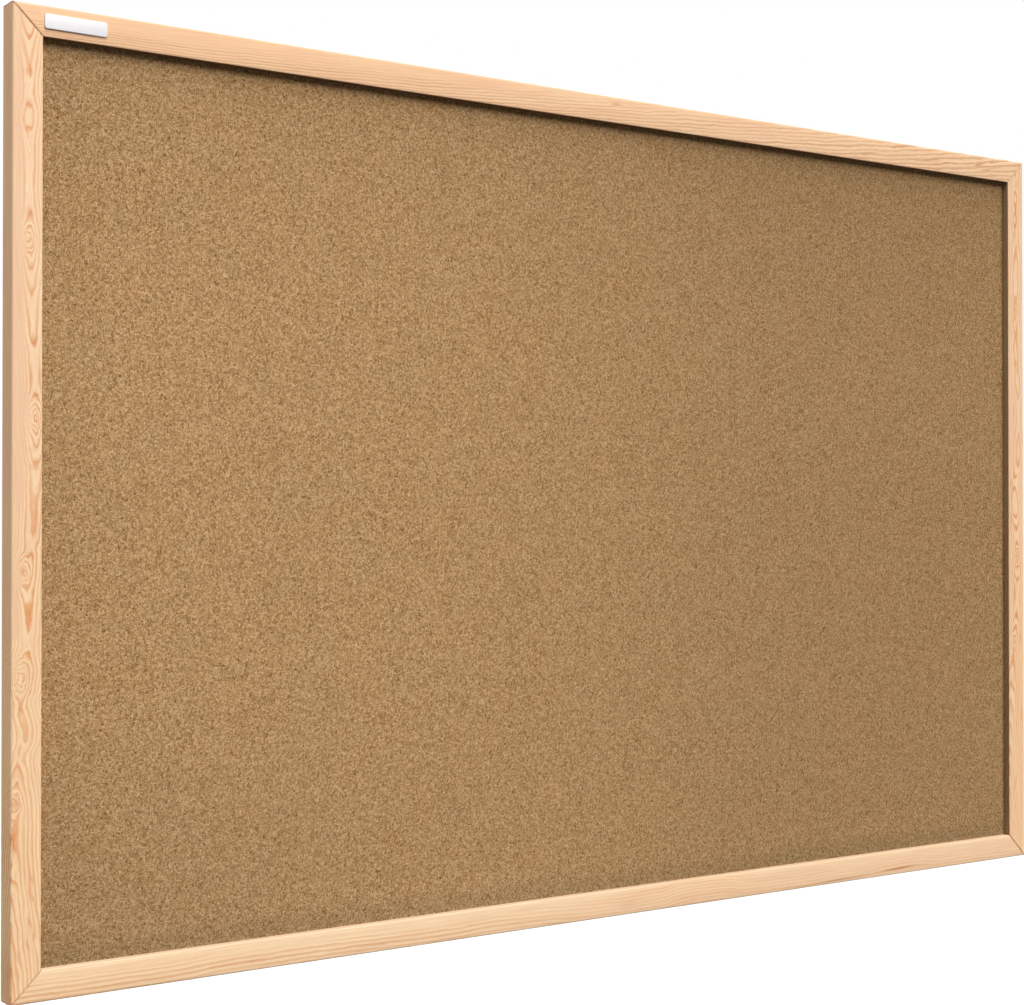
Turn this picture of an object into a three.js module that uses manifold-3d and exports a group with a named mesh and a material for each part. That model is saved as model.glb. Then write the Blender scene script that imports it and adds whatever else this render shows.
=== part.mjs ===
// A cork notice board in a mitred pine frame. Millimetres, +Z up, and the cork faces -Y.
// The origin is the middle of the board, in the plane of the frame's back.

import * as THREE from 'three';
import { mergeVertices } from 'three/addons/utils/BufferGeometryUtils.js';
import Module from 'manifold-3d';

const wasm = await Module();
wasm.setup();

// The board, over the frame
const BOARD_WIDTH = 900;
const BOARD_HEIGHT = 600;

// The panel: a cork sheet glued on a softboard core
const CORK_THICKNESS = 2;
const GLUE_LINE = 0.1;
const CORE_THICKNESS = 6;

// The rail: its face, the groove that holds the panel, and the lips before and behind it
const RAIL_FACE = 19;
const FRONT_LIP = 6;
const REAR_LIP = 2.5;
const GROOVE_DEPTH = 6;
const GROOVE_SLACK = 0.2;
const PANEL_EDGE_SLACK = 0.5;
const ARRIS_RADIUS = 1.1;
const SIGHT_ARRIS_RADIUS = 0.7;
const REAR_ARRIS_RADIUS = 0.6;
const MITRE_GAP = 0.3;

// The V-nails that are driven across each mitre from the back
const NAIL_LEG = 3.5;
const NAIL_THICKNESS = 0.7;
const NAIL_HEIGHT = 10;
const NAIL_SET = 0.5;
const NAIL_GAP = 0.2;
const NAIL_HALF_ANGLE = THREE.MathUtils.degToRad(55);
// Where each nail's point lies, as a share of the solid wood outside the groove
const NAIL_PLACE_SHARES = [0.45, 0.8];

// The name badge, left bare, on the top rail
const BADGE_WIDTH = 40;
const BADGE_HEIGHT = 9;
const BADGE_THICKNESS = 0.8;
const BADGE_CORNER = 1.6;
const BADGE_INSET = 19.5;
const BADGE_TAPE = 0.1;

// The hangers: a folded strap, a D-ring in its eye, and a pan-head screw
const HANGER_DROP = 70;
const WIRE_DIAMETER = 2;
const RING_INNER_WIDTH = 12;
const RING_BEND_RADIUS = 1.8;
const RING_LEG = 2.4;
const RING_SPLIT = 0.3;
const EYE_GAP = 0.3;
const STRAP_THICKNESS = 0.8;
const STRAP_WIDTH = 9.5;
const STRAP_LEAF_GAP = 0.2;
const STRAP_CRIMP_RADIUS = 0.8;
const STRAP_TAIL = 6;
const STRAP_CORNER = 2.6;
const STRAP_SEAT = 0.1;
const RING_REST_GAP = 0.3;
const SCREW_DIAMETER = 3;
const SCREW_LENGTH = 12;
const SCREW_POINT = 3.5;
const SCREW_HEAD_DIAMETER = 6;
const SCREW_HEAD_RIM = 0.7;
const SCREW_HEAD_HEIGHT = 1.9;
const SCREW_GAP = 0.3;
const SCREW_SEAT = 0.1;
const SCREW_RING_GAP = 2;

// How far a cutter runs past what it cuts
const CUT_OVERRUN = 1;

// Facets: a drawn arc gets two for each of its segments
const ARC_SEGMENTS = 3;
const FOLD_SEGMENTS = 8;
const WIRE_SEGMENTS = 6;
const RING_STEPS = 44;
const TURNED_SIDES = 20;
const DOME_STEPS = 5;

// Worked out from the sizes above
const grooveWidth = GROOVE_SLACK + CORK_THICKNESS + GLUE_LINE + CORE_THICKNESS + GROOVE_SLACK;
const railDepth = FRONT_LIP + grooveWidth + REAR_LIP;
const frontFace = -railDepth;
const railBody = RAIL_FACE - GROOVE_DEPTH;
const panelMargin = railBody + PANEL_EDGE_SLACK;
const panelWidth = BOARD_WIDTH - 2 * panelMargin;
const panelHeight = BOARD_HEIGHT - 2 * panelMargin;
const corkFace = frontFace + FRONT_LIP + GROOVE_SLACK;
const coreFace = corkFace + CORK_THICKNESS + GLUE_LINE;

const wireRadius = WIRE_DIAMETER / 2;
const eyeBore = wireRadius + EYE_GAP;
const eyeRadius = eyeBore + STRAP_THICKNESS;
const strapStack = STRAP_THICKNESS + STRAP_LEAF_GAP + STRAP_THICKNESS;
const ringHalfWidth = RING_INNER_WIDTH / 2 + wireRadius;
const ringReach = RING_BEND_RADIUS + RING_LEG + ringHalfWidth;
const ringRestTilt = Math.asin((strapStack + RING_REST_GAP + wireRadius - eyeRadius) / ringReach);
const screwRadius = SCREW_DIAMETER / 2;
const screwHeadRadius = SCREW_HEAD_DIAMETER / 2;
const screwDrop = ringReach + wireRadius + SCREW_RING_GAP + screwHeadRadius;
const strapLength = screwDrop + STRAP_TAIL;
const screwSeat = STRAP_SEAT + strapStack + SCREW_SEAT;
const hangerX = BOARD_WIDTH / 2 - RAIL_FACE / 2;
const hangerZ = BOARD_HEIGHT / 2 - HANGER_DROP;

const pine = new THREE.MeshStandardMaterial({ color: 0xe9c090, roughness: 0.6, metalness: 0 });
const cork = new THREE.MeshStandardMaterial({ color: 0xa8834f, roughness: 0.95, metalness: 0 });
const softboard = new THREE.MeshStandardMaterial({ color: 0x8c7355, roughness: 0.95, metalness: 0 });
const whitePlastic = new THREE.MeshStandardMaterial({ color: 0xf2f0ec, roughness: 0.35, metalness: 0 });
const zincSteel = new THREE.MeshStandardMaterial({ color: 0xc9c8c2, roughness: 0.35, metalness: 1 });
const darkSteel = new THREE.MeshStandardMaterial({ color: 0x7d7f82, roughness: 0.45, metalness: 1 });

function named(name, geometry, material) {
  const mesh = new THREE.Mesh(geometry, material);
  mesh.name = name;
  return mesh;
}

function toSolid(geometry) {
  const bare = geometry.clone();
  bare.deleteAttribute('normal');
  bare.deleteAttribute('uv');
  const merged = mergeVertices(bare);
  return new wasm.Manifold(new wasm.Mesh({
    numProp: 3,
    vertProperties: new Float32Array(merged.attributes.position.array),
    triVerts: new Uint32Array(merged.index.array),
  }));
}

function toGeometry(solid) {
  const { vertProperties, triVerts } = solid.getMesh();
  const geometry = new THREE.BufferGeometry();
  geometry.setAttribute('position', new THREE.BufferAttribute(vertProperties, 3));
  geometry.setIndex(new THREE.BufferAttribute(triVerts, 1));
  geometry.computeVertexNormals();
  return geometry;
}

function cutAway(geometry, cutters) {
  let solid = toSolid(geometry);
  for (const cutter of cutters) {
    solid = solid.subtract(toSolid(cutter));
  }
  return toGeometry(solid);
}

// An outline drawn in X and Z, as seen from the front, made solid from y = front to y = back
function plate(outline, front, back) {
  const geometry = new THREE.ExtrudeGeometry(outline, {
    depth: back - front,
    bevelEnabled: false,
    curveSegments: ARC_SEGMENTS,
  });
  return geometry.rotateX(Math.PI / 2).translate(0, back, 0);
}

// A round bar along Y
function roundBar(radius, front, back) {
  const geometry = new THREE.CylinderGeometry(radius, radius, back - front, TURNED_SIDES);
  return geometry.translate(0, (front + back) / 2, 0);
}

function roundedRectangle(width, height, radius) {
  const x = width / 2;
  const z = height / 2;
  const outline = new THREE.Shape();
  outline.absarc(x - radius, z - radius, radius, 0, Math.PI / 2, false);
  outline.absarc(radius - x, z - radius, radius, Math.PI / 2, Math.PI, false);
  outline.absarc(radius - x, radius - z, radius, Math.PI, 1.5 * Math.PI, false);
  outline.absarc(x - radius, radius - z, radius, 1.5 * Math.PI, 2 * Math.PI, false);
  return outline;
}

// The rail's section: X runs in from the outer edge, and Y runs back from the front face.
// The groove for the panel is open on the inner side, between the two lips.
function railSection() {
  const grooveFront = FRONT_LIP;
  const grooveBack = FRONT_LIP + grooveWidth;
  const section = new THREE.Shape();
  section.absarc(ARRIS_RADIUS, ARRIS_RADIUS, ARRIS_RADIUS, Math.PI, 1.5 * Math.PI, false);
  section.absarc(
    RAIL_FACE - SIGHT_ARRIS_RADIUS, SIGHT_ARRIS_RADIUS, SIGHT_ARRIS_RADIUS,
    1.5 * Math.PI, 2 * Math.PI, false,
  );
  section.lineTo(RAIL_FACE, grooveFront);
  section.lineTo(railBody, grooveFront);
  section.lineTo(railBody, grooveBack);
  section.lineTo(RAIL_FACE, grooveBack);
  section.absarc(
    RAIL_FACE - REAR_ARRIS_RADIUS, railDepth - REAR_ARRIS_RADIUS, REAR_ARRIS_RADIUS,
    0, Math.PI / 2, false,
  );
  section.absarc(
    REAR_ARRIS_RADIUS, railDepth - REAR_ARRIS_RADIUS, REAR_ARRIS_RADIUS,
    Math.PI / 2, Math.PI, false,
  );
  return section;
}

// A rail lies along X with its outer edge up, at z = 0, and its back at y = 0. Each end is
// cut back by as much as the point lies in from the outer edge, which makes the mitre.
function mitredRail(length) {
  const geometry = new THREE.ExtrudeGeometry(railSection(), {
    depth: length,
    bevelEnabled: false,
    curveSegments: ARC_SEGMENTS,
  });
  const halfKerf = MITRE_GAP * Math.SQRT1_2;
  const points = geometry.attributes.position;
  for (let i = 0; i < points.count; i += 1) {
    const across = points.getX(i);
    const y = points.getY(i) - railDepth;
    const end = points.getZ(i) > 0 ? 1 : -1;
    points.setXYZ(i, end * (length / 2 - across - halfKerf), y, -across);
  }
  return geometry;
}

// A V-nail in a corner's own frame: the frame's outer corner is at the origin, and the wood
// lies towards -X and -Z. The V points in along the mitre, and its legs open outwards.
function vNail(placeShare, spare) {
  const half = NAIL_THICKNESS / 2 + spare;
  const leg = NAIL_LEG + spare;
  const point = -placeShare * railBody * Math.SQRT2;
  const cos = Math.cos(NAIL_HALF_ANGLE);
  const sin = Math.sin(NAIL_HALF_ANGLE);
  const outline = new THREE.Shape();
  outline.moveTo(point - half / sin, 0);
  outline.lineTo(point + leg * cos - half * sin, -(leg * sin + half * cos));
  outline.lineTo(point + leg * cos + half * sin, -(leg * sin - half * cos));
  outline.lineTo(point + half / sin, 0);
  outline.lineTo(point + leg * cos + half * sin, leg * sin - half * cos);
  outline.lineTo(point + leg * cos - half * sin, leg * sin + half * cos);
  const deepest = -(NAIL_SET + NAIL_HEIGHT + spare);
  const nearest = spare > 0 ? CUT_OVERRUN : -NAIL_SET;
  return plate(outline, deepest, nearest).rotateY(-Math.PI / 4);
}

// The slots at both ends of a rail of this length
function nailSlots(length) {
  return NAIL_PLACE_SHARES.flatMap((placeShare) => [
    vNail(placeShare, NAIL_GAP).translate(length / 2, 0, 0),
    vNail(placeShare, NAIL_GAP).rotateY(-Math.PI / 2).translate(-length / 2, 0, 0),
  ]);
}

// The pilot hole for a hanger's screw, at this distance from the rail's middle
function screwHole(along) {
  const bottom = screwSeat - SCREW_LENGTH - SCREW_GAP;
  return roundBar(screwRadius + SCREW_GAP, bottom, CUT_OVERRUN).translate(along, 0, -RAIL_FACE / 2);
}

function rail(name, length, screwPlaces) {
  const cutters = [...nailSlots(length), ...screwPlaces.map(screwHole)];
  return named(name, cutAway(mitredRail(length), cutters), pine);
}

function makeFrame() {
  const frame = new THREE.Group();
  const screwZ = hangerZ - screwDrop;
  const top = rail('frame_top', BOARD_WIDTH, []);
  top.position.z = BOARD_HEIGHT / 2;
  const bottom = rail('frame_bottom', BOARD_WIDTH, []);
  bottom.position.z = -BOARD_HEIGHT / 2;
  bottom.rotation.y = Math.PI;
  const left = rail('frame_left', BOARD_HEIGHT, [screwZ]);
  left.position.x = -BOARD_WIDTH / 2;
  left.rotation.y = -Math.PI / 2;
  const right = rail('frame_right', BOARD_HEIGHT, [-screwZ]);
  right.position.x = BOARD_WIDTH / 2;
  right.rotation.y = Math.PI / 2;
  frame.add(top, bottom, left, right);
  return frame;
}

function makeCornerNails() {
  const corners = [
    { name: 'top_right', x: BOARD_WIDTH / 2, z: BOARD_HEIGHT / 2, turn: 0 },
    { name: 'bottom_right', x: BOARD_WIDTH / 2, z: -BOARD_HEIGHT / 2, turn: Math.PI / 2 },
    { name: 'bottom_left', x: -BOARD_WIDTH / 2, z: -BOARD_HEIGHT / 2, turn: Math.PI },
    { name: 'top_left', x: -BOARD_WIDTH / 2, z: BOARD_HEIGHT / 2, turn: -Math.PI / 2 },
  ];
  const nails = new THREE.Group();
  for (const { name, x, z, turn } of corners) {
    const corner = new THREE.Group();
    corner.position.set(x, 0, z);
    corner.rotation.y = turn;
    NAIL_PLACE_SHARES.forEach((placeShare, index) => {
      corner.add(named(`corner_nail_${name}_${index + 1}`, vNail(placeShare, 0), darkSteel));
    });
    nails.add(corner);
  }
  return nails;
}

function makePanel() {
  const x = panelWidth / 2;
  const z = panelHeight / 2;
  const outline = new THREE.Shape([
    new THREE.Vector2(-x, -z),
    new THREE.Vector2(x, -z),
    new THREE.Vector2(x, z),
    new THREE.Vector2(-x, z),
  ]);
  const panel = new THREE.Group();
  panel.add(
    named('cork_sheet', plate(outline, corkFace, corkFace + CORK_THICKNESS), cork),
    named('core_board', plate(outline, coreFace, coreFace + CORE_THICKNESS), softboard),
  );
  return panel;
}

function makeBadge() {
  const back = frontFace - BADGE_TAPE;
  const outline = roundedRectangle(BADGE_WIDTH, BADGE_HEIGHT, BADGE_CORNER);
  const badge = named('badge_plate', plate(outline, back - BADGE_THICKNESS, back), whitePlastic);
  badge.position.x = -BOARD_WIDTH / 2 + BADGE_INSET + BADGE_WIDTH / 2;
  badge.position.z = BOARD_HEIGHT / 2 - RAIL_FACE / 2;
  return badge;
}

// The strap's side view is one ribbon: X runs up the rail from the eye's axis, and Y runs out
// from the wood. It lies flat, goes round the ring's bar, and is crimped back on itself.
function strapSide() {
  const crimpY = strapStack + STRAP_CRIMP_RADIUS;
  const crimpX = -Math.sqrt((eyeRadius + STRAP_CRIMP_RADIUS) ** 2 - (crimpY - eyeRadius) ** 2);
  const meet = Math.atan2(crimpY - eyeRadius, crimpX);
  const innerCrimp = STRAP_CRIMP_RADIUS + STRAP_THICKNESS;
  const side = new THREE.Shape();
  side.moveTo(-strapLength, 0);
  side.lineTo(0, 0);
  side.absarc(0, eyeRadius, eyeRadius, -Math.PI / 2, meet, false);
  side.absarc(crimpX, crimpY, STRAP_CRIMP_RADIUS, meet - Math.PI, -Math.PI / 2, true);
  side.lineTo(-strapLength, strapStack);
  side.lineTo(-strapLength, strapStack - STRAP_THICKNESS);
  side.lineTo(crimpX, strapStack - STRAP_THICKNESS);
  side.absarc(crimpX, crimpY, innerCrimp, -Math.PI / 2, meet - Math.PI, false);
  side.absarc(0, eyeRadius, eyeBore, meet, -Math.PI / 2, true);
  side.lineTo(-strapLength, STRAP_THICKNESS);
  return side;
}

function strapGeometry() {
  const ribbon = new THREE.ExtrudeGeometry(strapSide(), {
    depth: STRAP_WIDTH,
    bevelEnabled: false,
    curveSegments: FOLD_SEGMENTS,
  });
  ribbon.rotateY(-Math.PI / 2).translate(STRAP_WIDTH / 2, STRAP_SEAT, 0);
  const x = STRAP_WIDTH / 2;
  const cornerX = x - STRAP_CORNER;
  const cornerZ = STRAP_CORNER - strapLength;
  const plan = new THREE.Shape();
  plan.moveTo(x + CUT_OVERRUN, eyeRadius + CUT_OVERRUN);
  plan.lineTo(-x - CUT_OVERRUN, eyeRadius + CUT_OVERRUN);
  plan.lineTo(-x - CUT_OVERRUN, cornerZ);
  plan.lineTo(-x, cornerZ);
  plan.absarc(-cornerX, cornerZ, STRAP_CORNER, Math.PI, 1.5 * Math.PI, false);
  plan.absarc(cornerX, cornerZ, STRAP_CORNER, 1.5 * Math.PI, 2 * Math.PI, false);
  plan.lineTo(x + CUT_OVERRUN, cornerZ);
  const above = STRAP_SEAT + 2 * eyeRadius + CUT_OVERRUN;
  const hole = roundBar(screwRadius + SCREW_GAP, -CUT_OVERRUN, above).translate(0, 0, -screwDrop);
  const trimmed = toSolid(ribbon).intersect(toSolid(plate(plan, -CUT_OVERRUN, above)));
  return toGeometry(trimmed.subtract(toSolid(hole)));
}

// A wire bent in the XZ plane along a path that is drawn in X and Z
class BentWire extends THREE.Curve {
  constructor(path) {
    super();
    this.path = path;
  }

  getPoint(t, target = new THREE.Vector3()) {
    const point = this.path.getPoint(t);
    return target.set(point.x, 0, point.y);
  }
}

// The D-ring hangs from the middle of its straight bar, where its two ends meet in the eye
function ringGeometry() {
  const bendX = ringHalfWidth - RING_BEND_RADIUS;
  const legEnd = -(RING_BEND_RADIUS + RING_LEG);
  const path = new THREE.Path();
  path.moveTo(RING_SPLIT / 2, 0);
  path.lineTo(bendX, 0);
  path.absarc(bendX, -RING_BEND_RADIUS, RING_BEND_RADIUS, Math.PI / 2, 0, true);
  path.lineTo(ringHalfWidth, legEnd);
  path.absarc(0, legEnd, ringHalfWidth, 0, -Math.PI, true);
  path.lineTo(-ringHalfWidth, -RING_BEND_RADIUS);
  path.absarc(-bendX, -RING_BEND_RADIUS, RING_BEND_RADIUS, Math.PI, Math.PI / 2, true);
  path.lineTo(-RING_SPLIT / 2, 0);
  const section = new THREE.Shape().absarc(0, 0, wireRadius, 0, 2 * Math.PI, false);
  return new THREE.ExtrudeGeometry(section, {
    steps: RING_STEPS,
    extrudePath: new BentWire(path),
    curveSegments: WIRE_SEGMENTS,
  });
}

// A pan-head screw along Y, with its head's seat at y = 0 and its point in the wood
function screwGeometry() {
  const domeRise = SCREW_HEAD_HEIGHT - SCREW_HEAD_RIM;
  const dome = Array.from({ length: DOME_STEPS }, (_, i) => {
    const angle = (i / DOME_STEPS) * (Math.PI / 2);
    return new THREE.Vector2(screwHeadRadius * Math.cos(angle), SCREW_HEAD_RIM + domeRise * Math.sin(angle));
  });
  const profile = [
    new THREE.Vector2(0, -SCREW_LENGTH),
    new THREE.Vector2(screwRadius, SCREW_POINT - SCREW_LENGTH),
    new THREE.Vector2(screwRadius, 0),
    new THREE.Vector2(screwHeadRadius, 0),
    ...dome,
    new THREE.Vector2(0, SCREW_HEAD_HEIGHT),
  ];
  return new THREE.LatheGeometry(profile, TURNED_SIDES);
}

function makeHanger(side, x) {
  const hanger = new THREE.Group();
  hanger.position.set(x, 0, hangerZ);
  const strap = named(`hanger_strap_${side}`, strapGeometry(), zincSteel);
  const ring = named(`hanger_ring_${side}`, ringGeometry(), zincSteel);
  ring.position.y = STRAP_SEAT + eyeRadius;
  ring.rotation.x = ringRestTilt;
  const screw = named(`hanger_screw_${side}`, screwGeometry(), zincSteel);
  screw.position.set(0, screwSeat, -screwDrop);
  hanger.add(strap, ring, screw);
  return hanger;
}

const board = new THREE.Group();
board.add(
  makeFrame(),
  makeCornerNails(),
  makePanel(),
  makeBadge(),
  makeHanger('left', -hangerX),
  makeHanger('right', hangerX),
);

export default board;
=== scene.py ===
import math

import bmesh
import bpy
from mathutils import Matrix, Vector, noise


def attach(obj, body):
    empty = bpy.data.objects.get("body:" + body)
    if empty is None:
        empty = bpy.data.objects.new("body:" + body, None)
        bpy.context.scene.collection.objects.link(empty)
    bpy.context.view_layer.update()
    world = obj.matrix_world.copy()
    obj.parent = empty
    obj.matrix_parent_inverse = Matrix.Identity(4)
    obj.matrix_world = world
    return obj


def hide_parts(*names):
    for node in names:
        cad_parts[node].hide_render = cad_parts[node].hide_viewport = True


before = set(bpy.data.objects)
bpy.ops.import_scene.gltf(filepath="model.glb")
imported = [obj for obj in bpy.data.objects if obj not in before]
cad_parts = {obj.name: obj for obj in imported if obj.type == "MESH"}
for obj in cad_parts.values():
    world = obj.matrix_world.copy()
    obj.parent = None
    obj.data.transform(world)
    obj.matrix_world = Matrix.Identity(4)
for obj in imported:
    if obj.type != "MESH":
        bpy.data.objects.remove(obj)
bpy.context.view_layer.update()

# The object's own sizes, in millimetres, as in the model
MM = 0.001
BOARD_WIDTH = 900
BOARD_HEIGHT = 600
RAIL_FACE = 19
RAIL_DEPTH = 17
FRONT_LIP = 6
GROOVE_WIDTH = 8.5
GROOVE_DEPTH = 6
RAIL_BODY = RAIL_FACE - GROOVE_DEPTH
ARRIS_RADIUS = 1.1
SIGHT_ARRIS_RADIUS = 0.7
REAR_ARRIS_RADIUS = 0.6
MITRE_GAP = 0.14
CROWN = 0.3
STATION_SPACING = 10
WANDER_LENGTH = 60
ARRIS_WANDER = 0.2
SIGHT_ARRIS_WANDER = 0.12
SIDE_RAIL_X = BOARD_WIDTH / 2 - RAIL_FACE / 2
LEVEL_RAIL_Z = BOARD_HEIGHT / 2 - RAIL_FACE / 2
OPENING_HALF_WIDTH = BOARD_WIDTH / 2 - RAIL_FACE
OPENING_HALF_HEIGHT = BOARD_HEIGHT / 2 - RAIL_FACE
# The darker band above the bottom rail is painted shade
CORK_FOOT_SHADE_HEIGHT = 19      # height of the darker band above the bottom rail

NAIL_LEG = 3.5
NAIL_THICKNESS = 0.7
NAIL_HEIGHT = 10
NAIL_SET = 0.5
NAIL_GAP = 0.2
NAIL_HALF_ANGLE = math.radians(55)
NAIL_PLACE_SHARES = (0.45, 0.8)

BADGE_WIDTH = 40
BADGE_HEIGHT = 9
BADGE_THICKNESS = 0.8
BADGE_CORNER = 1.6
BADGE_INSET = 19.5
BADGE_TAPE = 0.1
BADGE_EDGE = 0.3

HANGER_X = SIDE_RAIL_X
HANGER_Z = 230
WIRE_RADIUS = 1
RING_HALF_WIDTH = 7
RING_BEND_RADIUS = 1.8
RING_LEG = 2.4
RING_SPLIT = 0.3
EYE_BORE = 1.3
EYE_RADIUS = 2.1
STRAP_THICKNESS = 0.8
STRAP_WIDTH = 9.5
STRAP_STACK = 1.8
STRAP_CRIMP_RADIUS = 0.8
STRAP_CORNER = 2.6
STRAP_SEAT = 0.1
STRAP_EDGE = 0.14
SCREW_TAIL = 6
SCREW_RADIUS = 1.5
SCREW_ROOT_RADIUS = 1.1
SCREW_PITCH = 1.25
SCREW_LENGTH = 12
SCREW_POINT = 3.5
SCREW_HEAD_RADIUS = 3
SCREW_HEAD_RIM = 0.7
SCREW_HEAD_HEIGHT = 1.9
SCREW_GAP = 0.3
SCREW_CLEARANCE = 2
SCREW_SEAT = 2.0
SCREW_TIP_RADIUS = 0.03
SCREW_CENTRE_RADIUS = 0.12
SCREW_HEAD_CHAMFER = 0.12
SCREW_HEAD_EDGE = 0.1
SCREW_NECK = 0.6
SCREW_NECK_FADE = 0.8
THREAD_STEEPNESS = 3.4
RECESS_TURN = 0.3
RECESS_LEVELS = [(0.55, 0.5, 0.2), (1.1, 1.05, 0.3)]    # height, half the length and half the width
RECESS_TOP = (1.9, 0.46)
RING_REST_GAP = 0.3
WIRE_END = [(0, 0.8), (0.06, 0.93), (0.2, 1.0)]         # place along the wire, and share of its radius
CUT_OVERRUN = 1

RING_REACH = RING_BEND_RADIUS + RING_LEG + RING_HALF_WIDTH
RING_REST_TILT = math.asin((STRAP_STACK + RING_REST_GAP + WIRE_RADIUS - EYE_RADIUS) / RING_REACH)
SCREW_DROP = RING_REACH + WIRE_RADIUS + SCREW_CLEARANCE + SCREW_HEAD_RADIUS
STRAP_LENGTH = SCREW_DROP + SCREW_TAIL

# How finely the round forms are drawn
CROWN_STEPS = 8
ARRIS_STEPS = 8
SIGHT_ARRIS_STEPS = 6
REAR_ARRIS_STEPS = 5
BADGE_CORNER_STEPS = 10
BADGE_EDGE_STEPS = 5
EYE_STEPS = 30
CRIMP_STEPS = 8
STRAP_CORNER_STEPS = 10
STRAP_EDGE_SEGMENTS = 2
RING_BEND_STEPS = 10
RING_BOW_STEPS = 24
WIRE_SIDES = 20
BORE_SIDES = 32
SCREW_SIDES = 36
THREAD_STEPS = 10
DOME_STEPS = 10
EDGE_ANGLE = 40         # degrees from which an edge of the strap is rounded
SHARP_ANGLE = 35        # degrees from which an edge is shaded sharp
SCREW_SHARP_ANGLE = 30

# The rings' own numbers
SEED_STEP = 37.0
RINGS_PER_DEPTH = 0.28
KNOT_CURL = 2.2

# Camera and floor, in metres
CAMERA_PLACE = (-0.83955, -1.10993, -0.01167)
CAMERA_TILT = 0.01021
CAMERA_TURN = -0.60225
CAMERA_LENS = 66.172
FLOOR_SIZE = 14
FLOOR_DROP = 1.35


# Camera
def make_camera():
    camera = bpy.data.objects.new("camera", bpy.data.cameras.new("camera"))
    bpy.context.scene.collection.objects.link(camera)
    camera.location = CAMERA_PLACE
    camera.rotation_euler = (math.pi / 2 + CAMERA_TILT, 0, CAMERA_TURN)
    camera.data.lens = CAMERA_LENS
    camera.data.sensor_width = 36
    camera.data.sensor_fit = "HORIZONTAL"
    camera.data.clip_start = 0.01
    camera.data.clip_end = 50
    bpy.context.scene.camera = camera


# Shader formulas: a Field is a number or vector that nodes work out at each point
class Field:
    def __init__(self, graph, socket):
        self.graph = graph
        self.socket = socket

    def __add__(self, other):
        return self.graph.math("ADD", self, other)

    def __sub__(self, other):
        return self.graph.math("SUBTRACT", self, other)

    def __mul__(self, other):
        return self.graph.math("MULTIPLY", self, other)

    def __truediv__(self, other):
        return self.graph.math("DIVIDE", self, other)


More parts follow.
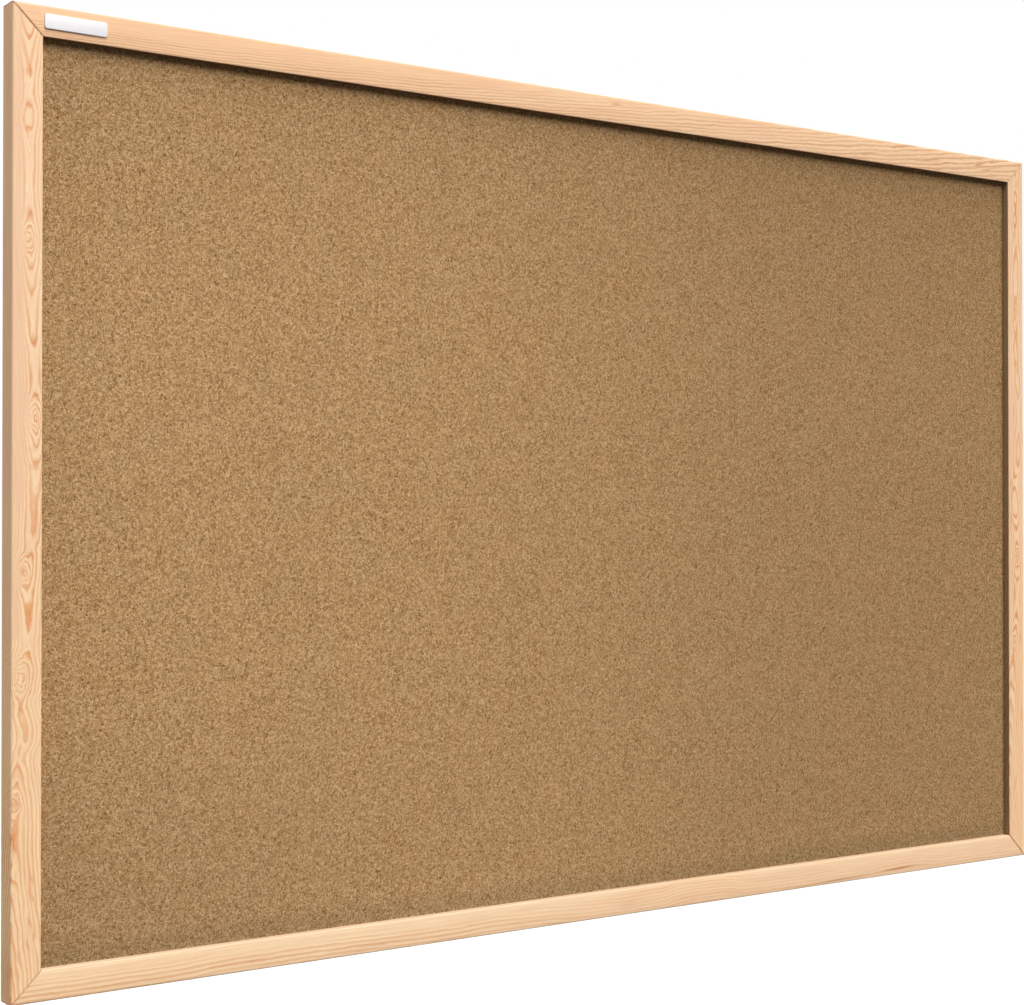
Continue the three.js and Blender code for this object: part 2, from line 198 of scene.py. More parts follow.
class Graph:
    def __init__(self, name):
        self.material = bpy.data.materials.new(name)
        self.material.use_nodes = True
        self.nodes = self.material.node_tree.nodes
        self.links = self.material.node_tree.links
        self.shader = self.nodes["Principled BSDF"]
        place = self.nodes.new("ShaderNodeTexCoord").outputs["Object"]
        scaled = self.nodes.new("ShaderNodeVectorMath")
        scaled.operation = "SCALE"
        self.links.new(place, scaled.inputs[0])
        scaled.inputs["Scale"].default_value = 1 / MM
        self.place = Field(self, scaled.outputs[0])

    def plug(self, value, socket):
        if isinstance(value, Field):
            self.links.new(value.socket, socket)
        else:
            socket.default_value = value

    def math(self, operation, *values):
        node = self.nodes.new("ShaderNodeMath")
        node.operation = operation
        for value, socket in zip(values, node.inputs):
            self.plug(value, socket)
        return Field(self, node.outputs[0])

    def split(self, vector):
        node = self.nodes.new("ShaderNodeSeparateXYZ")
        self.plug(vector, node.inputs[0])
        return [Field(self, output) for output in node.outputs]

    def vector(self, x, y, z):
        node = self.nodes.new("ShaderNodeCombineXYZ")
        for value, socket in zip((x, y, z), node.inputs):
            self.plug(value, socket)
        return Field(self, node.outputs[0])

    def noise(self, vector, scale, detail=2.0, roughness=0.5):
        node = self.nodes.new("ShaderNodeTexNoise")
        self.plug(vector, node.inputs["Vector"])
        node.inputs["Scale"].default_value = scale
        node.inputs["Detail"].default_value = detail
        node.inputs["Roughness"].default_value = roughness
        return Field(self, node.outputs[0])

    def swirl(self, vector, scale, reach):
        """The vector moved by up to about half of reach each way, by a soft noise."""
        node = self.nodes.new("ShaderNodeTexNoise")
        self.plug(vector, node.inputs["Vector"])
        node.inputs["Scale"].default_value = scale
        node.inputs["Detail"].default_value = 1.0
        centred = self.nodes.new("ShaderNodeVectorMath")
        centred.operation = "MULTIPLY_ADD"
        self.links.new(node.outputs["Color"], centred.inputs[0])
        centred.inputs[1].default_value = (reach,) * 3
        centred.inputs[2].default_value = (-reach / 2,) * 3
        moved_place = self.nodes.new("ShaderNodeVectorMath")
        self.plug(vector, moved_place.inputs[0])
        self.links.new(centred.outputs[0], moved_place.inputs[1])
        return Field(self, moved_place.outputs[0])

    def cells(self, vector, scale, feature="F1"):
        node = self.nodes.new("ShaderNodeTexVoronoi")
        node.feature = feature
        self.plug(vector, node.inputs["Vector"])
        node.inputs["Scale"].default_value = scale
        return {output.name: Field(self, output) for output in node.outputs if output.enabled}

    def chance(self, value):
        """A random number from 0 to 1 for each value."""
        node = self.nodes.new("ShaderNodeTexWhiteNoise")
        node.noise_dimensions = "1D"
        self.plug(value, node.inputs["W"])
        return Field(self, node.outputs["Value"])

    def smooth(self, value, low, high, to_low=0.0, to_high=1.0):
        node = self.nodes.new("ShaderNodeMapRange")
        node.interpolation_type = "SMOOTHSTEP"
        for item, socket in zip((value, low, high, to_low, to_high), node.inputs):
            self.plug(item, socket)
        return Field(self, node.outputs[0])

    def curve(self, value, points):
        """A smooth curve through (place, height) points, read at value."""
        places = [p for p, _ in points]
        heights = [h for _, h in points]
        low, span = min(places), max(places) - min(places)
        base, rise = min(heights), max(heights) - min(heights)
        node = self.nodes.new("ShaderNodeFloatCurve")
        line = node.mapping.curves[0]
        shares = sorted(((p - low) / span, (h - base) / rise) for p, h in points)
        line.points[0].location = shares[0]
        line.points[1].location = shares[-1]
        for share in shares[1:-1]:
            line.points.new(*share)
        for point in line.points:
            point.handle_type = "AUTO_CLAMPED"
        node.mapping.update()
        self.plug((value - low) / span, node.inputs["Value"])
        return Field(self, node.outputs[0]) * rise + base

    def ramp(self, value, stops):
        node = self.nodes.new("ShaderNodeValToRGB")
        band = node.color_ramp
        while len(band.elements) < len(stops):
            band.elements.new(1.0)
        for element, (place, colour) in zip(band.elements, stops):
            element.position = place
            element.color = (*colour, 1)
        self.plug(value, node.inputs[0])
        return Field(self, node.outputs[0])

    def mix(self, factor, first, second, blend="MIX"):
        node = self.nodes.new("ShaderNodeMix")
        node.data_type = "RGBA"
        node.blend_type = blend
        self.plug(factor, node.inputs["Factor"])
        for value, socket in zip((first, second), (node.inputs[6], node.inputs[7])):
            self.plug(value if isinstance(value, Field) else (*value, 1), socket)
        return Field(self, node.outputs[2])

    def grey(self, value):
        """A number as a colour."""
        return self.vector(value, value, value)

    def relief(self, height, distance, strength=1.0):
        node = self.nodes.new("ShaderNodeBump")
        node.inputs["Distance"].default_value = distance * MM
        node.inputs["Strength"].default_value = strength
        self.plug(height, node.inputs["Height"])
        self.links.new(node.outputs[0], self.shader.inputs["Normal"])

    def finish(self, colour, roughness, **plain):
        self.plug(colour, self.shader.inputs["Base Color"])
        self.plug(roughness, self.shader.inputs["Roughness"])
        for name, value in plain.items():
            self.shader.inputs[name.replace("_", " ")].default_value = value
        return self.material


def srgb(red, green, blue):
    return tuple(
        share / 12.92 if share <= 0.04045 else ((share + 0.055) / 1.055) ** 2.4
        for share in (red / 255, green / 255, blue / 255)
    )


# Pine. Rings are the level lines of a height that grows away from a wandering centre line,
# with the height itself drawn along the rail, so that arches, ovals and swirls round knots
# come out where its slope changes sign.
class Grain:
    """How one rail's rings run, in mm. Curves are (place along the rail, value) points."""

    along = "Z"                     # axis that the rail runs along
    across = ("X", 0)               # axis across the face, and where the face's middle is on it
    outward = 1                     # 1 where across grows towards the outer edge, or -1
    length = BOARD_HEIGHT
    heights = ()                    # ring count on the grain's centre line
    centre = ()                     # where that line runs across the face
    spread = ()                     # rings per mm far from the centre line
    contrast = ()                   # strength of the latewood
    quiet = ()                      # border of the part of the face with fine, faint rings
    quiet_side = 1                  # 1 where that part lies above the border, -1 below it
    joints = (0, 0)                 # how dark the mitre's edge is at the low and the high end
    knots = ()                      # along, across, reach, width, rise, darkness, and slant if any
    bend = 5.5                      # how wide a ring turns at the centre line
    fades = True                    # whether the latewood is fainter away from the centre line
    core_fall = 7.0                 # how soon a knot's dark core ends
    wander = (0.4, 0.3)             # rings moved by the wide and by the narrow noise
    early = (252, 217, 177)         # wood between the latewood bands
    late = (231, 158, 102)          # the bands
    calm = (246, 206, 168)          # wood of the quiet part
    resin = (208, 112, 46)          # the knots' cores, and stains
    # sight: painted shade on the lip's face at the opening
    sight = (0.74, 0.76, 0.8)       # tint of the lip's face at the opening
    drift = (1.0, 1.0, 1.0)         # tint at the low end, growing from the middle
    seed = 0

    def __init__(self, **values):
        vars(self).update(values)


LEFT_GRAIN = Grain(
    across=("X", -SIDE_RAIL_X), outward=-1,
    heights=[
        (300, 0.9), (289, 2.0), (283, 2.4), (278, 3.0), (269, 3.4), (263, 3.68), (254.5, 4.0), (248, 4.2),
        (242.5, 4.0), (237, 3.5), (231, 3.2), (226, 3.55), (220, 3.95), (212, 4.1), (195, 4.25), (184, 4.2),
        (177, 4.0), (174, 3.85), (169, 3.6), (163, 3.3), (150, 3.4), (143, 3.7), (138.5, 4.0), (130, 4.5),
        (123.5, 5.0), (112, 5.3), (100, 5.6), (92, 6.0), (84, 6.2), (74, 6.2), (67, 6.0), (61, 5.7),
        (50, 5.5), (39, 5.6), (32, 6.0), (26, 6.45), (19.5, 7.0), (10, 7.2), (3, 7.5), (-4, 7.65),
        (-14, 7.72), (-20, 7.8), (-25, 8.05), (-27, 8.1), (-29, 8.0), (-34, 7.6), (-41, 7.4), (-47, 7.7),
        (-52, 8.0), (-57, 8.2), (-64, 8.6), (-72, 8.85), (-80, 8.95), (-85, 9.12), (-89, 9.0), (-96, 8.4),
        (-104, 7.9), (-112, 7.8), (-118, 8.1), (-122, 8.0), (-128, 7.6), (-136, 7.75), (-146, 7.9),
        (-153, 8.05), (-155, 8.0), (-160, 7.5), (-166, 7.05), (-174, 6.6), (-180, 6.3), (-200, 5.4),
        (-240, 2.9), (-300, -0.9),
    ],
    centre=[
        (300, 0.0), (250, 0.6), (190, 0.8), (139, 2.4), (90, 4.1), (64, 5.2), (20, 5.8), (3, 4.6),
        (-18, 3.6), (-30, 2.4), (-50, 0.4), (-70, 1.6), (-95, 0.4), (-115, -2.6), (-124, -3.8),
        (-138, -0.8), (-150, -4.6), (-167, -6.0), (-180, -6.2), (-205, -9.5), (-240, -13), (-300, -17),
    ],
    spread=[(300, 0.6), (120, 0.62), (0, 0.6), (-90, 0.55), (-160, 0.48), (-220, 0.4), (-300, 0.38)],
    contrast=[
        (300, 0.8), (262, 1.0), (200, 0.95), (160, 0.9), (100, 1.0), (-110, 0.95), (-125, 0.7), (-150, 0.7),
        (-166, 1.0), (-188, 0.88), (-205, 1.14), (-300, 1.08),
    ],
    quiet=[
        (300, -3.5), (180, -3.0), (100, -1.5), (20, -1.0), (-20, -5.0), (-75, -4.5), (-92, -15), (-300, -16),
    ],
    quiet_side=-1,
    joints=(0.35, 0.75),
    knots=[
        (157, 0.4, 7.0, 4.6, -2.7, 0.15), (50.5, 4.2, 8.0, 4.4, -2.9, 0.0),
        (-41.5, -2.4, 6.5, 3.8, -2.6, 0.45), (-105, -5.4, 10.0, 5.6, -3.2, 0.0),
        (-180, -7.8, 6.5, 4.4, -2.2, 0.0), (-235, 2.4, 7, 1.6, 0.5, 0.0, -0.3),
        (-252, 1.2, 8, 1.6, 0.5, 0.0, -0.3), (-262, 4.6, 8, 1.4, 0.5, 0.0, -0.3),
        (-204, -7.6, 7, 1.8, 0.5, 0.0), (-222, -8.2, 7, 1.6, 0.5, 0.0), (259, 0.4, 2.6, 2.6, 0.0, 0.3),
        (240, 0.5, 2.4, 2.2, 0.0, 0.3), (174, 1.4, 3.5, 2.2, 0.0, 0.35), (97.5, 4.0, 3.2, 1.9, 0.0, 0.4),
        (75, 2.4, 5.5, 0.8, 0.0, 0.35), (76, 8.0, 6, 0.9, 0.0, 0.3), (64.5, 5.0, 2.6, 1.6, 0.0, 0.35),
        (31.5, 3.6, 1.7, 3.5, 0.0, 0.2), (21.5, 4.8, 2.8, 3.2, 0.0, 0.35), (-14, 6.2, 12, 1.6, 0.0, 0.15),
        (-31, 1.0, 2.4, 2.5, 0.0, 0.2), (-124, -3.8, 3.5, 1.3, 0.0, 0.3), (-180, -6.3, 3.2, 2.2, 0.0, 0.4),
        (-205, -8.0, 7, 1.1, 0.0, 0.35), (-226, 3.7, 3.6, 0.9, 0.0, 0.4, -0.25),
        (-236.5, 3.7, 3.2, 1.0, 0.0, 0.4, -0.25), (-252, 2.6, 4.2, 1.0, 0.0, 0.4, -0.3),
        (-265, 1.1, 3.6, 0.9, 0.0, 0.35, -0.3), (-272, -5.0, 4, 0.9, 0.0, 0.3, -0.3),
        (-284, -8.8, 18, 0.9, 0.0, 0.4),
    ],
    wander=(0.7, 0.85), drift=(1.0, 0.985, 0.93),
)

RIGHT_GRAIN = Grain(
    across=("X", SIDE_RAIL_X),
    heights=[
        (300, 0.0), (288, 0.9), (278, 1.0), (268, 0.6), (258, 0.95), (250, 0.6), (243, 0.9), (234, 1.1),
        (225, 0.9), (212, 0.4), (190, 0.3), (176, 0.9), (166, 0.9), (158, 0.5), (150, 0.85), (140, 0.5),
        (110, 0.4), (80, 1.4), (50, 0.5), (34, 0.9), (21, 1.9), (12, 1.2), (2, 1.0), (-10, 1.9), (-29, 3.0),
        (-38, 2.4), (-52, 2.0), (-64, 2.9), (-76, 3.1), (-89, 2.9), (-100, 2.0), (-114, 1.0), (-140, -0.8),
        (-170, -2.4), (-220, -5.4), (-300, -11),
    ],
    centre=[
        (300, 0.0), (255, -0.6), (225, 0.0), (171, -1.0), (120, 1.0), (80, 3.2), (34, 1.5), (20, -3.0),
        (0, -2.0), (-29, 0.5), (-60, 1.0), (-89, 0.0), (-114, -4.0), (-160, -7.5), (-220, -12), (-300, -16),
    ],
    spread=[(300, 0.5), (100, 0.52), (-90, 0.5), (-150, 0.42), (-300, 0.36)],
    contrast=[(300, 0.85), (200, 0.9), (120, 0.75), (20, 0.95), (-100, 1.0), (-300, 0.85)],
    quiet=[(300, -15), (150, -14), (90, -1.0), (40, -2.0), (10, -14), (-300, -16)],
    quiet_side=-1,
    joints=(0.85, 0.1),
    knots=[
        (168, -1.0, 6, 3.4, -1.8, 0.2), (-41, 1.0, 7, 3.8, -2.2, 0.3), (-118, -3.5, 6.5, 3.6, -1.8, 0.2),
        (280, 0.5, 5, 1.3, 0.0, 0.3), (257.5, 0.0, 5, 1.5, 0.0, 0.35), (238, -1.3, 6, 1.4, 0.0, 0.35),
        (173, -1.3, 4, 1.3, 0.0, 0.35), (151, 0.5, 7, 1.5, 0.0, 0.3), (126, -1.5, 5, 1.1, 0.0, 0.25),
        (83.5, -2.8, 6, 1.1, 0.0, 0.2), (20.7, -5.9, 5, 1.6, 0.0, 0.35), (-10.7, -6.7, 9, 1.3, 0.0, 0.35),
        (-73.5, -2.0, 8, 1.7, 0.0, 0.35), (-112, 4.9, 4, 1.5, 0.0, 0.3), (-135, -2.8, 10, 1.1, 0.0, 0.3),
        (-178, 6.2, 6, 1.5, 0.0, 0.3), (-238, -2.8, 8, 1.1, 0.0, 0.3, 0.25),
    ],
    wander=(0.8, 0.7), early=(250, 213, 173), late=(230, 157, 99), calm=(247, 203, 165),
    # sight: painted shade on the lip's face at the opening
    sight=(0.45, 0.5, 0.5), drift=(1.0, 0.97, 0.92), seed=3,
)

TOP_GRAIN = Grain(
    along="X", across=("Z", LEVEL_RAIL_Z), length=BOARD_WIDTH,
    heights=[
        (-450, 0.0), (-376, 1.5), (-285, 4.4), (-193, 8.0), (-80, 13.0), (26, 17.6), (113, 21.2),
        (200, 24.6), (275, 27.6), (350, 30.5), (450, 34.4),
    ],
    centre=[(-450, 27), (0, 24), (220, 21), (450, 18)],
    spread=[(-450, 0.62), (-193, 0.5), (26, 0.42), (200, 0.36), (350, 0.3), (450, 0.28)],
    contrast=[(-450, 0.7), (0, 0.62), (150, 0.62), (270, 0.68), (450, 0.85)],
    quiet=[(-450, -2.0), (-193, 0.5), (26, 4.0), (200, 9.0), (350, 15)],
    joints=(0.75, 0.15),
    knots=[
        (4.6, 4.5, 6, 2.2, 0.6, 0.35), (397, 3.0, 13, 0.9, 0.4, 0.75, 0.27),
        (414, 1.0, 24, 0.8, 0.3, 0.4, 0.21), (251, -4.6, 22, 1.0, 0.3, 0.3, 0.15),
    ],
    bend=9, fades=False, core_fall=2.5, wander=(1.3, 0.7),
    early=(250, 209, 168), late=(205, 148, 98), calm=(249, 206, 165), resin=(186, 106, 46),
    # sight: painted shade, nearly black, on the lip's face under the top rail
    sight=(0.12, 0.09, 0.06), drift=(0.98, 0.94, 0.91), seed=7,
)

BOTTOM_GRAIN = Grain(
    along="X", across=("Z", -LEVEL_RAIL_Z), outward=-1, length=BOARD_WIDTH,
    heights=[
        (-450, 0.8), (-400, 0.85), (-362, 0.9), (-305, 0.3), (-270, 0.25), (-180, 0.7), (-140, 0.8),
        (-100, 0.5), (-60, 0.6), (0, 1.0), (50, 0.7), (86, -0.6), (125, 0.6), (200, 1.0), (260, 0.8),
        (305, -0.2), (345, 0.7), (450, 1.0),
    ],
    centre=[(-450, -26), (450, -24)],
    spread=[(-450, 0.36), (-120, 0.36), (0, 0.42), (450, 0.45)],
    contrast=[(-450, 0.68), (-150, 0.6), (-70, 0.42), (30, 0.35), (90, 0.5), (150, 0.35), (450, 0.3)],
    quiet=[(-450, 3.2), (-120, 2.0), (0, 4), (90, 8), (150, 3), (450, 2)],
    joints=(0.3, 0.85),
    knots=[
        (15, -1.5, 12, 4.0, 0.3, 0.14), (296, -4.9, 30, 1.3, 0.5, 0.8, 0.028),
        (228, -6.9, 52, 1.1, 0.3, 0.55, 0.02),
    ],
    bend=9, fades=False, core_fall=2.5, wander=(0.6, 0.5),
    early=(250, 212, 171), late=(228, 160, 106), calm=(249, 212, 172), resin=(178, 98, 38),
    drift=(1.04, 1.08, 1.08), seed=11,
)


class Pine:
    """The places on one rail, in mm, and the noises that run with it."""

    def __init__(self, name, grain):
        g = Graph(name)
        axes = dict(zip("XYZ", g.split(g.place)))
        axis, middle = grain.across
        self.graph = g
        self.grain = grain
        self.along = axes[grain.along]
        self.across = axes[axis] - middle
        self.depth = axes["Y"] + RAIL_DEPTH
        self.start = SEED_STEP * grain.seed

    def curve(self, points):
        return self.graph.curve(self.along, points)

    def figure(self, length, width, depth, detail, roughness=0.5):
        """Noise with lumps of this size along, across and into the rail."""
        place = self.graph.vector(self.along / length + self.start, self.across / width, self.depth / depth)
        return self.graph.noise(place, 1.0, detail, roughness)

    def chance(self, ring, offset):
        """A random number for each ring."""
        return self.graph.chance(ring + offset + self.start)


def ring_height(pine, medium):
    """The height whose level lines are the rings, how far the centre line is, and the knots' cores."""
    g, grain = pine.graph, pine.grain
    broad = pine.figure(46, 13, 15, 2.0) - 0.5
    fine = pine.figure(5, 1.1, 1.3, 1.0) - 0.5
    off = pine.across - pine.curve(grain.centre)
    lateral = (g.math("SQRT", off * off + grain.bend ** 2) - grain.bend) * pine.curve(grain.spread)
    height = pine.curve(grain.heights) + lateral + pine.depth * RINGS_PER_DEPTH
    core = 0.0
    gnarl = 0.0
    for place, side, reach, width, rise, dark, *slant in grain.knots:
        from_place = pine.along - place
        from_side = pine.across - side
        if slant:
            from_side = from_side - from_place * slant[0]
        a = from_place / reach
        b = from_side / width
        near = a * a + b * b
        if rise:
            rounded = g.math("EXPONENT", near * -1.0)
            height = height + rounded * rise
            if rise < -1.0:
                gnarl = g.math("SQRT", rounded) + gnarl
        if dark:
            # A knot without a rise is a stain that leaves the rings as they are
            core = g.math("EXPONENT", near * (-grain.core_fall if rise else -1.0)) * dark + core
    height = height + broad * grain.wander[0] + medium * grain.wander[1] + fine * 0.08
    if isinstance(gnarl, Field):
        curls = pine.figure(4.2, 2.4, 4, 1.0) - 0.5
        height = height + curls * gnarl * KNOT_CURL
    return height, off, core


def latewood(pine, medium, height, off, calm):
    """Share of latewood: bands that start slowly and stop a little faster, with finer rings in between."""
    g, grain = pine.graph, pine.grain
    ring = g.math("FLOOR", height)
    share = height - ring
    strength = pine.chance(ring, 0.37) * 0.35 + 0.65
    width = pine.chance(ring, 5.61) * 0.2
    late = g.smooth(share, width + 0.25, 0.78) * g.smooth(share, 0.86, 1.0, 1.0, 0.0) * strength
    if grain.fades:
        late = late * (g.math("EXPONENT", off * off * -0.0865) * 0.38 + 0.62)
    thin_height = height * 2.6 + medium * 2.0
    thin_ring = g.math("FLOOR", thin_height)
    thin_share = thin_height - thin_ring
    thin = g.smooth(thin_share, 0.35, 0.8) * g.smooth(thin_share, 0.86, 1.0, 1.0, 0.0)
    thin = thin * pine.chance(thin_ring, 2.83)
    patch = pine.figure(60, 10, 9, 2.0)
    late = late * (calm * -0.8 + 1.0) * g.smooth(patch, 0.28, 0.6, 0.7, 1.0)
    late = (late + thin * (calm * -0.1 + 0.3)) * pine.curve(grain.contrast)
    return g.math("MINIMUM", late, 1.0)


def painted_lip_shade_and_stains(pine, colour):
    """The colour with the outer edge faces tinted a little darker and warmer, painted shade on the lip's face
    at the opening, and the mitres darkened by glue and saw marks.
    """
    g, grain = pine.graph, pine.grain
    inward = pine.across * -grain.outward + RAIL_FACE / 2
    outer = g.smooth(inward, 0.05, 0.5, 1.0, 0.0)
    inner = g.smooth(inward, RAIL_FACE - 0.3, RAIL_FACE - 0.05)
    colour = g.mix(outer, colour, (0.98, 0.93, 0.84), "MULTIPLY")
    # Painted shade on the lip's face at the opening, by each rail's sight tint
    colour = g.mix(inner, colour, grain.sight, "MULTIPLY")
    ahead = (g.math("ABSOLUTE", pine.along) * -1.0 + grain.length / 2 - inward) * math.sqrt(0.5)
    low_end, high_end = grain.joints
    end_strength = g.math("GREATER_THAN", pine.along, 0.0) * (high_end - low_end) + low_end
    grime = g.noise(g.vector(pine.along / 3, pine.across / 3, pine.depth / 3), 1.0, 2.0)
    stain = g.smooth(ahead, 0.2, 0.95, 1.0, 0.0) * end_strength * g.smooth(grime, 0.3, 0.6, 0.6, 1.0)
    return g.mix(stain, colour, srgb(150, 78, 28))


def pine_material(name, grain):
    pine = Pine(name, grain)
    g = pine.graph
    medium = pine.figure(13, 3.6, 5, 2.0) - 0.5
    height, off, core = ring_height(pine, medium)
    border = pine.curve(grain.quiet)
    calm = g.smooth((pine.across - border) * grain.quiet_side, -2.5, 2.5)
    late = latewood(pine, medium, height, off, calm)

    # Strands that run with the rings, and fibres that run with the rail
    strands = g.noise(g.vector(pine.along / 45 + pine.start, height * 2.2, pine.depth / 6), 1.0, 3.0, 0.62)
    streak = pine.figure(30, 0.6, 0.6, 3.0, 0.6)
    fibre = pine.figure(6, 0.16, 0.16, 2.0, 0.6)
    flush = pine.figure(90, 7, 12, 2.0)
    canals = g.smooth(pine.figure(2.6, 0.3, 0.3, 1.0), 0.68, 0.76)

    colour = g.mix(calm, srgb(*grain.early), srgb(*grain.calm))
    colour = g.mix(g.smooth(flush, 0.4, 0.68, 0.0, 0.4), colour, (0.965, 0.88, 0.86), "MULTIPLY")
    colour = g.mix(g.smooth(pine.along * -2 / grain.length, -0.4, 0.7), colour, grain.drift, "MULTIPLY")
    colour = g.mix(late, colour, srgb(*grain.late))
    tone = (strands - 0.5) * 0.4 + (streak - 0.5) * 0.14 + (fibre - 0.5) * 0.12 + 1.0
    tint = g.vector(tone * 0.5 + 0.5, tone, tone * 1.12 - 0.12)
    colour = g.mix(1.0, colour, tint, "MULTIPLY")
    colour = g.mix(canals * late * 0.5, colour, srgb(168, 108, 62))
    colour = g.mix(core, colour, srgb(*grain.resin))
    colour = painted_lip_shade_and_stains(pine, colour)

    g.relief(late * 0.5 + fibre * 0.55 + streak * 0.3, 0.05, 0.6)
    roughness = g.math("MULTIPLY_ADD", late, -0.1, 0.62) + (fibre - 0.5) * 0.12
    return g.finish(colour, roughness, IOR=1.4, Specular_IOR_Level=0.35)


# Cork: pressed granules of several sizes, each with its own tone and its own height
def cork_painted_light(g, colour):
    """The colour with painted light and shade: paler to the left, darker to the right, towards the top and
    bottom edges and towards the bottom-left corner, and a painted shade band above the bottom rail; it is
    also warmer to the right.
    """
    x, _, z = g.split(g.place)
    side, top = OPENING_HALF_WIDTH, OPENING_HALF_HEIGHT
    # Painted light falloff: paler to the left, darker to the right and towards the top and bottom edges
    painted_falloff = g.curve(x, [(-side, 1.0), (-340, 1.08), (-200, 1.07), (0, 0.995), (200, 0.9), (side, 0.89)])
    painted_falloff = painted_falloff * g.curve(
        z, [(-top, 0.92), (-150, 0.955), (0, 0.99), (110, 1.02), (180, 1.005), (top, 0.92)]
    )
    warmth = g.smooth(x, -350.0, 350.0)
    # Painted shade towards the bottom-left corner, and a painted shade band above the bottom rail
    corner = g.smooth(z, -top, -90.0, 1.0, 0.0) * g.smooth(x, -side, 0.0, 1.0, 0.0)
    foot_painted_shade = g.smooth(z, -top, CORK_FOOT_SHADE_HEIGHT - top, 1.0, 0.0)
    colour = g.mix(1.0, colour, g.grey(painted_falloff), "MULTIPLY")
    colour = g.mix(warmth, colour, (0.99, 0.972, 0.935), "MULTIPLY")
    colour = g.mix(corner, colour, (0.87, 0.865, 0.865), "MULTIPLY")
    return g.mix(foot_painted_shade, colour, (0.74, 0.8, 0.86), "MULTIPLY")


def cork_material():
    g = Graph("cork")
    bent = g.swirl(g.place, 0.75, 1.4)
    bent = g.swirl(bent, 2.2, 0.35)
    grains = g.cells(bent, 0.9)
    edges = g.cells(bent, 0.9, "DISTANCE_TO_EDGE")["Distance"]
    crumbs = g.cells(g.swirl(g.place, 1.5, 0.7), 1.8)
    tone = g.chance(g.split(grains["Color"])[0] * 91.7)
    crumb_tone = g.chance(g.split(crumbs["Color"])[1] * 57.3)
    patch = g.noise(g.place, 1.1, 3.0, 0.6)
    colour = g.ramp(tone * 0.46 + crumb_tone * 0.34 + patch * 0.2, [
        (0.12, srgb(142, 99, 49)),
        (0.27, srgb(172, 130, 79)),
        (0.45, srgb(198, 156, 105)),
        (0.62, srgb(212, 171, 121)),
        (0.8, srgb(231, 194, 146)),
    ])
    mottle = g.noise(g.place, 0.045, 3.0, 0.6)
    olive = g.mix(g.smooth(mottle, 0.35, 0.68), (1.005, 0.99, 0.965), (0.985, 1.0, 0.995))
    colour = g.mix(1.0, colour, olive, "MULTIPLY")
    # Painted light and shade by place on the sheet
    colour = cork_painted_light(g, colour)
    joint = g.smooth(edges, 0.0, 0.1, 0.68, 1.0)
    colour = g.mix(1.0, colour, g.grey(joint), "MULTIPLY")
    bark = g.smooth(g.chance(g.split(grains["Color"])[2] * 33.1), 0.95, 0.98)
    colour = g.mix(bark * 0.65, colour, srgb(112, 72, 34))
    pits = g.smooth(g.noise(g.place, 2.4, 2.0), 0.62, 0.74)
    height = g.smooth(edges, 0.0, 0.16) * 0.5 + tone * 0.45 + crumb_tone * 0.25 - pits * 0.6
    g.relief(height, 0.34, 0.8)
    return g.finish(colour, 0.9, IOR=1.35, Diffuse_Roughness=0.6)


# Softboard: felted wood fibres, pressed on a wire screen whose mesh shows on the back
def softboard_material():
    g = Graph("softboard")
    bent = g.swirl(g.place, 0.09, 9.0)
    x, y, z = g.split(bent)
    lengthwise = g.noise(g.vector(x / 5, y, z / 0.5), 1.0, 3.0, 0.65)
    crosswise = g.noise(g.vector(x / 0.5, y, z / 5), 1.0, 3.0, 0.65)
    fibres = g.math("MAXIMUM", lengthwise, crosswise)
    lumps = g.noise(g.place, 0.12, 4.0, 0.6)
    colour = g.ramp(fibres, [
        (0.4, srgb(128, 96, 64)),
        (0.55, srgb(160, 126, 88)),
        (0.72, srgb(192, 160, 120)),
    ])
    colour = g.mix(1.0, colour, g.grey(g.smooth(lumps, 0.2, 0.8, 0.9, 1.08)), "MULTIPLY")
    slivers = g.smooth(g.noise(g.vector(x / 3, y, z / 0.35), 1.0, 1.0), 0.7, 0.78)
    colour = g.mix(slivers * 0.6, colour, srgb(92, 62, 38))
    px, _, pz = g.split(g.place)
    mesh = g.math("SINE", px * 3.6) * g.math("SINE", pz * 3.6)
    g.relief(fibres * 0.8 + lumps * 0.4 + mesh * 0.16, 0.2, 0.8)
    return g.finish(colour, 0.92, IOR=1.3)


def plastic_material():
    g = Graph("white_plastic")
    haze = g.noise(g.place, 0.35, 3.0, 0.6)
    colour = g.mix(haze, srgb(232, 228, 230), srgb(239, 235, 237))
    scuffs = g.noise(g.place, 5.0, 3.0, 0.65)
    g.relief(scuffs, 0.01, 0.25)
    roughness = g.smooth(scuffs, 0.3, 0.75, 0.26, 0.38)
    return g.finish(colour, roughness, IOR=1.5, Coat_Weight=0.15, Coat_Roughness=0.08)


def steel_material(name, bright, dull, rough, grain_axis):
    """Metal with fine drawn lines along one axis, and a patchy plating."""
    g = Graph(name)
    x, y, z = g.split(g.place)
    stretch = {"X": (x / 6, y / 0.12, z / 0.12), "Z": (x / 0.12, y / 0.12, z / 6)}[grain_axis]
    lines = g.noise(g.vector(*stretch), 1.0, 3.0, 0.6)
    patches = g.noise(g.place, 0.8, 3.0, 0.6)
    colour = g.mix(patches, srgb(*dull), srgb(*bright))
    g.relief(lines * 0.6 + patches * 0.4, 0.02, 0.5)
    roughness = g.smooth(lines * 0.5 + patches * 0.5, 0.3, 0.7, rough - 0.06, rough + 0.08)
    return g.finish(colour, roughness, Metallic=1.0)


# Meshes are drawn in millimetres and stored in metres
def mesh_of(name, vertices, faces):
    mesh = bpy.data.meshes.new(name)
    mesh.from_pydata([tuple(c * MM for c in v) for v in vertices], [], faces)
    work = bmesh.new()
    work.from_mesh(mesh)
    bmesh.ops.recalc_face_normals(work, faces=work.faces)
    work.to_mesh(mesh)
    work.free()
    return mesh


